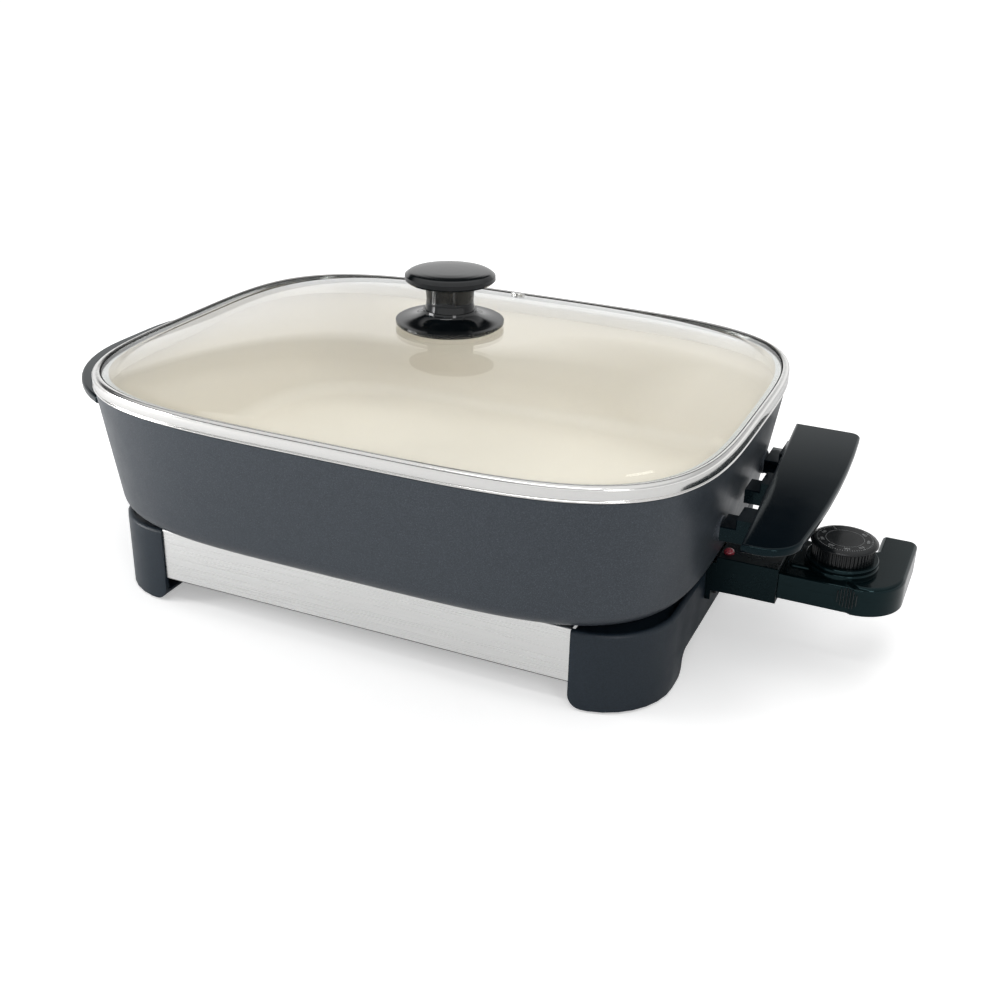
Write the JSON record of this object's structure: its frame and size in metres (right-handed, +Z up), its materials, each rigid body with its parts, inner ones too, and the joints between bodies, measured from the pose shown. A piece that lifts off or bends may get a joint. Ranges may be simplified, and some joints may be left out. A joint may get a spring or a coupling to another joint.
{
  "type": "electric skillet",
  "caption": "Deep rectangular countertop skillet with a lift-off domed glass lid, end handles, a low framed base and a plug-in temperature control with a dial.",
  "frame": {"origin": "on the counter under the middle of the pan, midway between the four feet", "axes": "+X towards the plug-in control at the right-hand end, -Y towards the front with its steel panel, +Z up"},
  "size_m": [0.513, 0.3, 0.1917],
  "materials": {
    "pan": "charcoal metallic paint outside, cream ceramic coating inside",
    "element": "dull",
    "pins": "satin",
    "insulator": "matte",
    "frame": "fine grained",
    "screws": "zinc plated",
    "panel": "brushed along its length",
    "feet": "matte",
    "handle": "satin",
    "guard": "satin",
    "lens": "clear red",
    "lamp": "clear",
    "glass": "clear tempered",
    "band": "polished",
    "vent": "polished",
    "gasket": "matte",
    "knob": "gloss",
    "washer": "matte silicone",
    "control": "gloss",
    "contacts": "satin",
    "probe": "satin",
    "gland": "matte",
    "dial": "satin with printed marks"
  },
  "bodies": {
    "cooker": {"pan": "pan", "heating_element": "element", "terminal_pins": "pins", "terminal_insulators": "insulator", "end_frame_left": "frame", "end_frame_right": "frame", "frame_screws": "screws", "front_panel": "panel", "rear_panel": "panel", "panel_screws": "screws", "rubber_feet": "feet", "handle_left": "handle", "handle_right": "handle", "handle_screws": "screws", "probe_guard": "guard", "guard_screws": "screws", "indicator_lens": "lens", "indicator_lamp": "lamp"},
    "lid": {"lid_glass": "glass", "lid_band": "band", "vent_grommet": "vent", "knob_gasket": "gasket", "knob_base": "knob", "knob_cap": "knob", "knob_washer": "washer", "knob_screw": "screws"},
    "control": {"control_lower_shell": "control", "control_upper_shell": "control", "control_screws": "screws", "control_contacts": "contacts", "sensor_probe": "probe", "thermostat_base": "insulator", "bimetal_blade": "contacts", "cord_gland": "gland"},
    "dial": {"dial": "dial", "dial_shaft": "pins"}
  },
  "joints": [
    {"name": "lid_lift", "type": "slide", "parent": "cooker", "child": "lid", "axis": [0, 0, 1], "range_m": [0, 0.15]},
    {"name": "control_pull", "type": "slide", "parent": "cooker", "child": "control", "axis": [1, 0, 0], "range_m": [0, 0.115]},
    {"name": "dial_turn", "type": "hinge", "parent": "control", "child": "dial", "pos_m": [0.2425, 0, 0.065], "axis": [0, 0, -1], "range_deg": [0, 290]}
  ]
}
